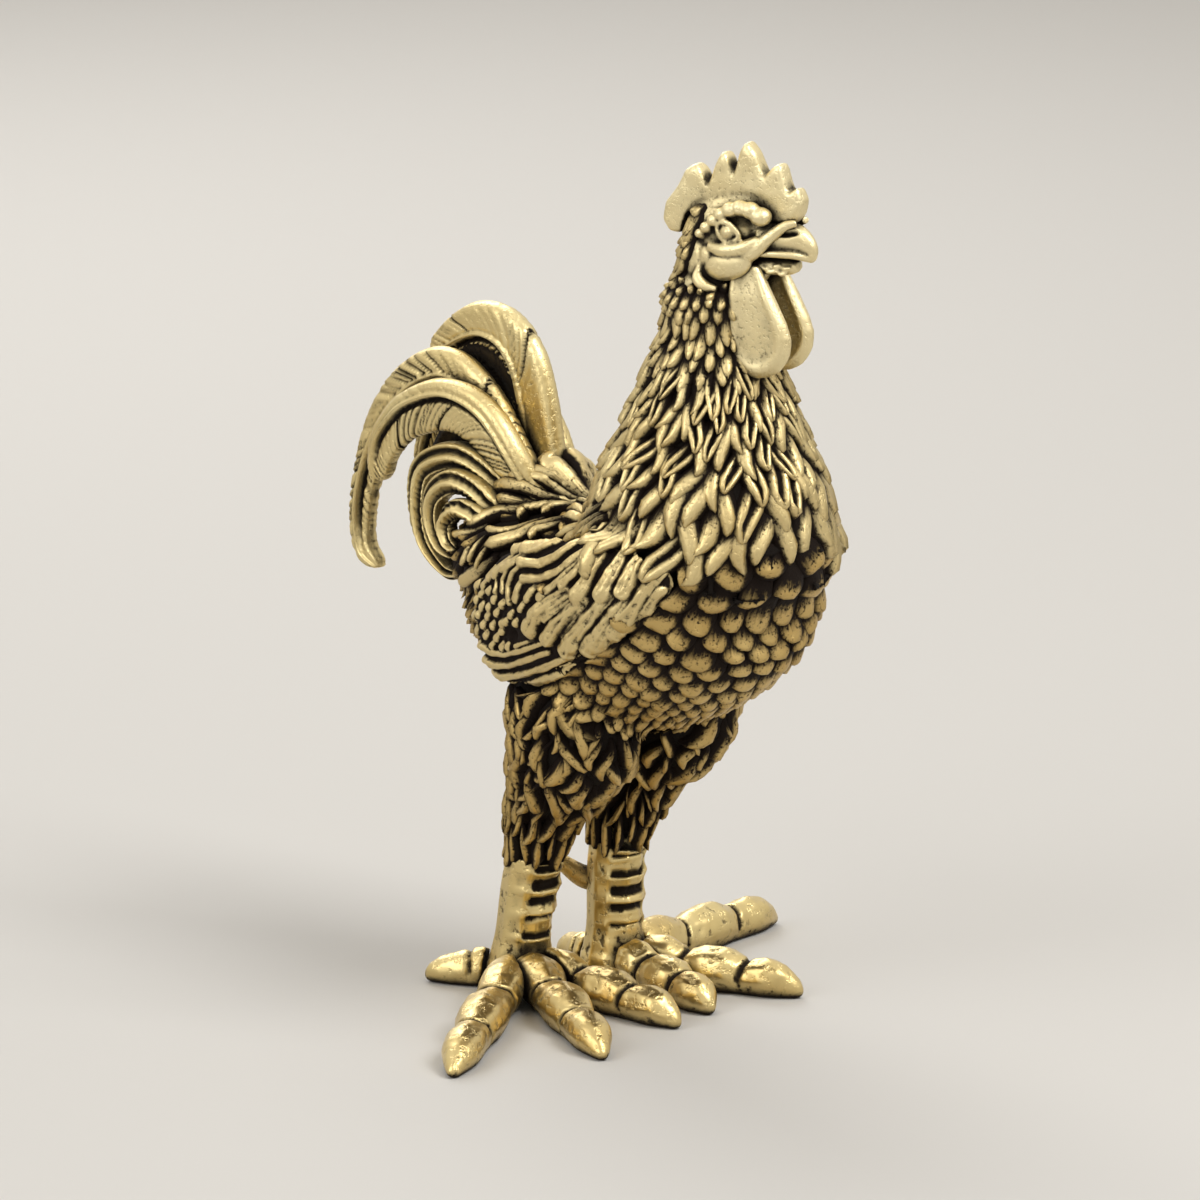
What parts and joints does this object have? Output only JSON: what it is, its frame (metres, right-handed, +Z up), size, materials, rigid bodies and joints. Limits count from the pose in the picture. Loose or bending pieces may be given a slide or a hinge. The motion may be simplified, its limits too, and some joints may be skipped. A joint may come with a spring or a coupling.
{
  "type": "rooster figurine",
  "caption": "Standing rooster cast in antiqued brass, with a serrated comb, long wattles, layered hackle feathers and a tail of curling sickle feathers.",
  "frame": {"origin": "on the surface the figure stands on, under the middle of its bounding box", "axes": "+X the way the breast faces, +Y towards the bird's own left, +Z up"},
  "size_m": [0.0366, 0.0366, 0.0523],
  "materials": {
    "antiqued_brass": "cast brass with a blackened patina left in the grooves and the raised feathers rubbed back",
    "worn_brass": "cast brass rubbed pale on the comb, beak, wattles, shanks and toes"
  },
  "bodies": {
    "root": {"torso": "antiqued_brass", "neck_hackle": "antiqued_brass", "head": "worn_brass", "upper_beak": "worn_brass", "lower_beak": "worn_brass", "comb": "worn_brass", "wattle_right": "worn_brass", "wattle_left": "worn_brass", "saddle": "antiqued_brass", "wing_right": "antiqued_brass", "wing_left": "antiqued_brass", "thigh_right": "antiqued_brass", "shank_right": "worn_brass", "spur_right": "worn_brass", "thigh_left": "antiqued_brass", "shank_left": "worn_brass", "spur_left": "worn_brass", "tail_root": "antiqued_brass", "top_sickle": "antiqued_brass", "long_sickle": "antiqued_brass", "right_sickle": "antiqued_brass", "left_sickle": "antiqued_brass", "upper_covert_right": "antiqued_brass", "middle_covert_right": "antiqued_brass", "lower_covert_right": "antiqued_brass", "upper_covert_left": "antiqued_brass", "middle_covert_left": "antiqued_brass", "lower_covert_left": "antiqued_brass", "middle_toe_right": "worn_brass", "inner_toe_right": "worn_brass", "outer_toe_right": "worn_brass", "back_toe_right": "worn_brass", "middle_toe_left": "worn_brass", "inner_toe_left": "worn_brass", "outer_toe_left": "worn_brass", "back_toe_left": "worn_brass"}
  },
  "joints": []
}
